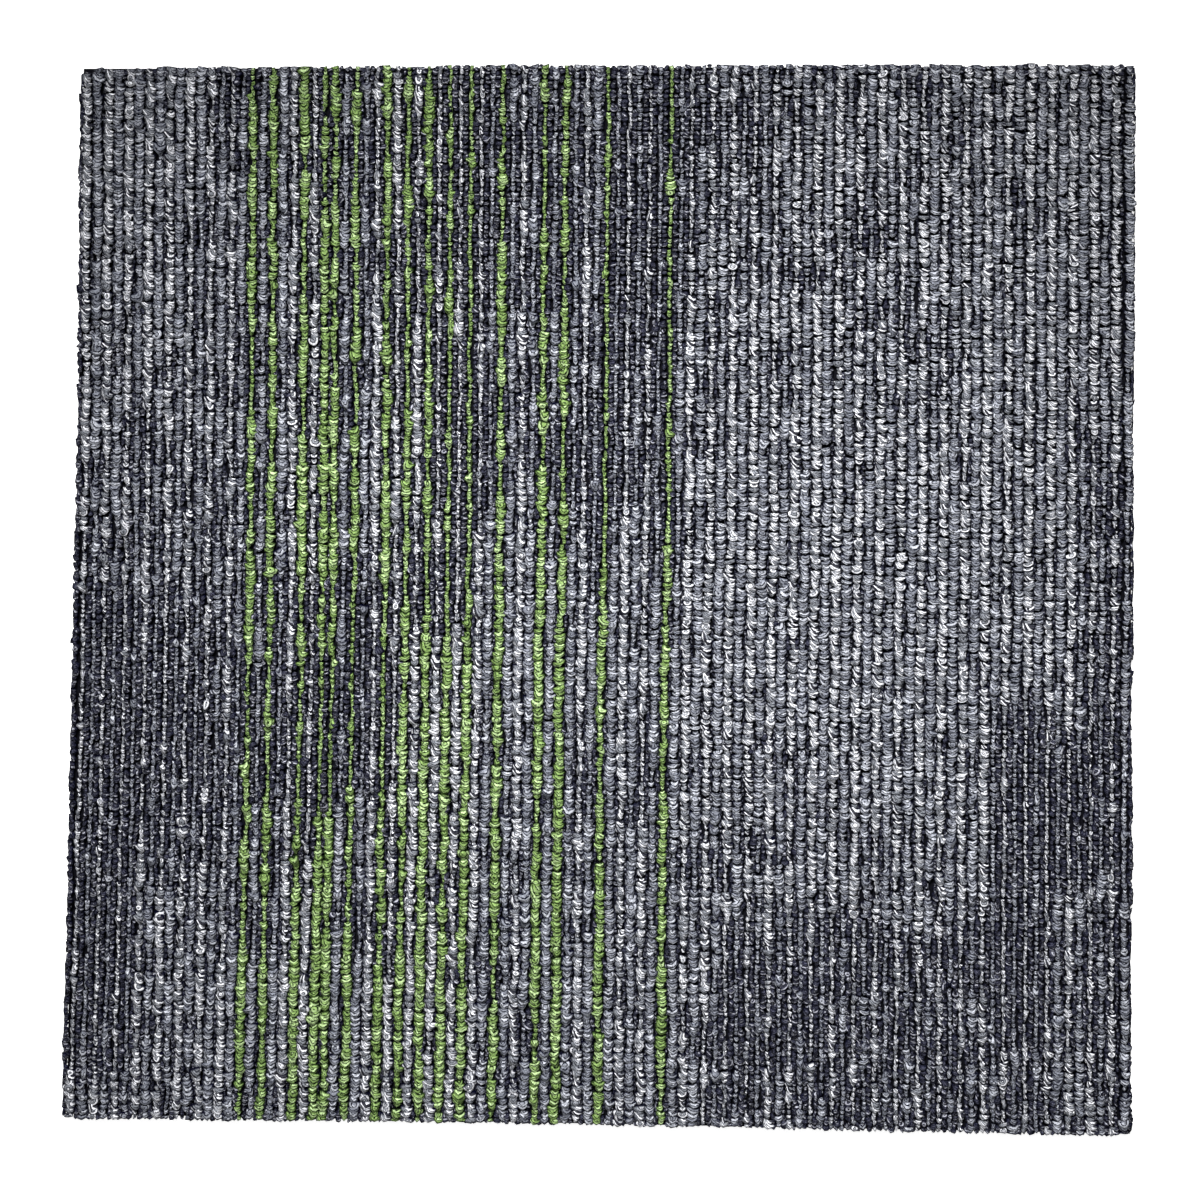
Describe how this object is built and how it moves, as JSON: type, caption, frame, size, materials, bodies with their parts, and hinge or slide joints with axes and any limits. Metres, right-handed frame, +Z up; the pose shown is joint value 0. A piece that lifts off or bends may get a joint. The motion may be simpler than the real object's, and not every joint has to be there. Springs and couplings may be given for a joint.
{
  "type": "carpet tile",
  "caption": "Square loop-pile carpet tile with rows of tufted yarn in grey, dark blue and green on a heavy flexible backing.",
  "frame": {"origin": "centre of the underside, which lies on the floor", "axes": "+Z up out of the pile, +Y along the tufted rows, +X across them with the green rows left of the middle"},
  "size_m": [0.5, 0.5, 0.0065],
  "materials": {
    "backing_compound": "matt, filled black compound under a thin grey fleece",
    "pile_yarn": "bulked nylon loops in dark blue, grey, white-and-grey twist and leaf green"
  },
  "bodies": {
    "root": {"backing": "backing_compound", "pile": "pile_yarn"}
  },
  "joints": []
}
